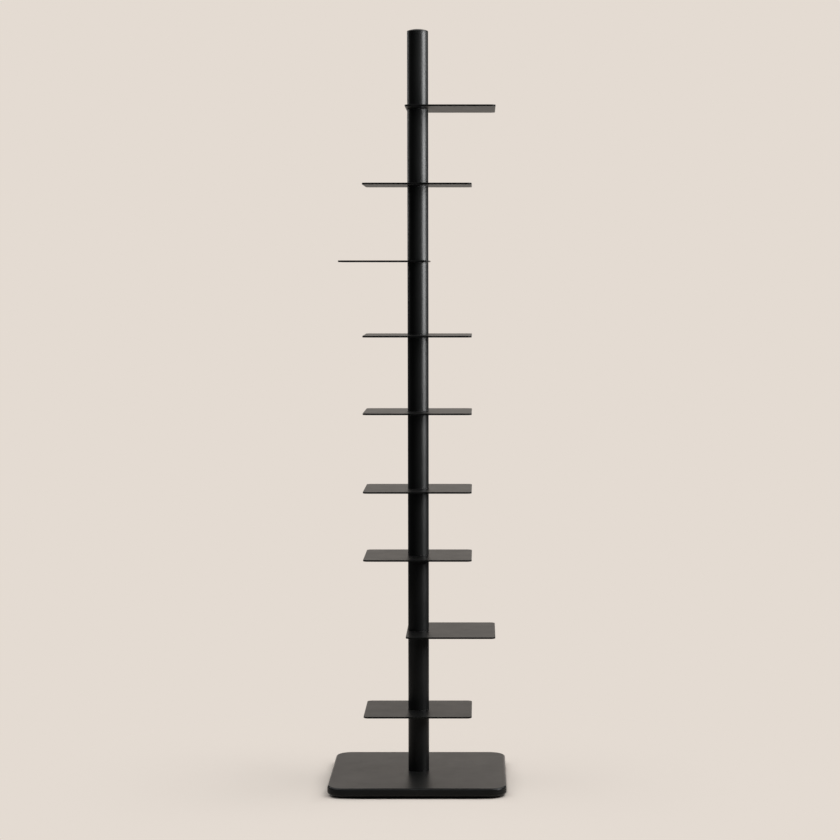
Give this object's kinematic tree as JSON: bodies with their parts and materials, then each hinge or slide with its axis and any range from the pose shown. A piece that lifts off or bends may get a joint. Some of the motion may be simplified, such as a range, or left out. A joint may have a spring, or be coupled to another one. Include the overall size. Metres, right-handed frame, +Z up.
{
  "type": "spine bookshelf",
  "caption": "Free-standing book tower: thin black steel shelves clamped at uneven heights on a slim round post with a heavy square base; each shelf swivels about the post.",
  "frame": {"origin": "on the floor, under the axis of the spine and the middle of the base", "axes": "+Z up along the spine, +X to the right and -Y to the front as the picture sees it"},
  "size_m": [0.356, 0.356, 1.524],
  "materials": {
    "black_powder_coat": "satin black powder coat with a faint orange-peel texture",
    "zinc_plated_steel": "bright zinc plate",
    "turned_aluminium": "as turned",
    "bush_brass": "as turned",
    "black_nylon": "matte moulded nylon"
  },
  "bodies": {
    "spine": {"base_slab": "black_powder_coat", "base_glides": "black_nylon", "tie_rod": "zinc_plated_steel", "clamp_nut": "zinc_plated_steel", "clamp_washer": "zinc_plated_steel", "top_cap": "black_powder_coat", "spine_tube_1": "black_powder_coat", "spine_tube_2": "black_powder_coat", "spine_tube_3": "black_powder_coat", "spine_tube_4": "black_powder_coat", "spine_tube_5": "black_powder_coat", "spine_tube_6": "black_powder_coat", "spine_tube_7": "black_powder_coat", "spine_tube_8": "black_powder_coat", "spine_tube_9": "black_powder_coat", "spine_tube_10": "black_powder_coat", "tube_plugs_1": "turned_aluminium", "tube_plugs_2": "turned_aluminium", "tube_plugs_3": "turned_aluminium", "tube_plugs_4": "turned_aluminium", "tube_plugs_5": "turned_aluminium", "tube_plugs_6": "turned_aluminium", "tube_plugs_7": "turned_aluminium", "tube_plugs_8": "turned_aluminium", "tube_plugs_9": "turned_aluminium", "tube_plugs_10": "turned_aluminium", "pivot_bush_1": "bush_brass", "pivot_bush_2": "bush_brass", "pivot_bush_3": "bush_brass", "pivot_bush_4": "bush_brass", "pivot_bush_5": "bush_brass", "pivot_bush_6": "bush_brass", "pivot_bush_7": "bush_brass", "pivot_bush_8": "bush_brass", "pivot_bush_9": "bush_brass", "slip_washers_1": "black_nylon", "slip_washers_2": "black_nylon", "slip_washers_3": "black_nylon", "slip_washers_4": "black_nylon", "slip_washers_5": "black_nylon", "slip_washers_6": "black_nylon", "slip_washers_7": "black_nylon", "slip_washers_8": "black_nylon", "slip_washers_9": "black_nylon"},
    "swivel_shelf_1": {"shelf_1": "black_powder_coat"},
    "swivel_shelf_2": {"shelf_2": "black_powder_coat"},
    "swivel_shelf_3": {"shelf_3": "black_powder_coat"},
    "swivel_shelf_4": {"shelf_4": "black_powder_coat"},
    "swivel_shelf_5": {"shelf_5": "black_powder_coat"},
    "swivel_shelf_6": {"shelf_6": "black_powder_coat"},
    "swivel_shelf_7": {"shelf_7": "black_powder_coat"},
    "swivel_shelf_8": {"shelf_8": "black_powder_coat"},
    "swivel_shelf_9": {"shelf_9": "black_powder_coat"}
  },
  "joints": [
    {"name": "shelf_1_turn", "type": "hinge", "parent": "spine", "child": "swivel_shelf_1", "pos_m": [0, 0, 0.145], "axis": [0, 0, 1], "continuous": true},
    {"name": "shelf_2_turn", "type": "hinge", "parent": "spine", "child": "swivel_shelf_2", "pos_m": [0, 0, 0.3075], "axis": [0, 0, 1], "continuous": true},
    {"name": "shelf_3_turn", "type": "hinge", "parent": "spine", "child": "swivel_shelf_3", "pos_m": [0, 0, 0.4615], "axis": [0, 0, 1], "continuous": true},
    {"name": "shelf_4_turn", "type": "hinge", "parent": "spine", "child": "swivel_shelf_4", "pos_m": [0, 0, 0.598], "axis": [0, 0, 1], "continuous": true},
    {"name": "shelf_5_turn", "type": "hinge", "parent": "spine", "child": "swivel_shelf_5", "pos_m": [0, 0, 0.755], "axis": [0, 0, 1], "continuous": true},
    {"name": "shelf_6_turn", "type": "hinge", "parent": "spine", "child": "swivel_shelf_6", "pos_m": [0, 0, 0.9095], "axis": [0, 0, 1], "continuous": true},
    {"name": "shelf_7_turn", "type": "hinge", "parent": "spine", "child": "swivel_shelf_7", "pos_m": [0, 0, 1.059], "axis": [0, 0, 1], "continuous": true},
    {"name": "shelf_8_turn", "type": "hinge", "parent": "spine", "child": "swivel_shelf_8", "pos_m": [0, 0, 1.2125], "axis": [0, 0, 1], "continuous": true},
    {"name": "shelf_9_turn", "type": "hinge", "parent": "spine", "child": "swivel_shelf_9", "pos_m": [0, 0, 1.3655], "axis": [0, 0, 1], "continuous": true}
  ]
}
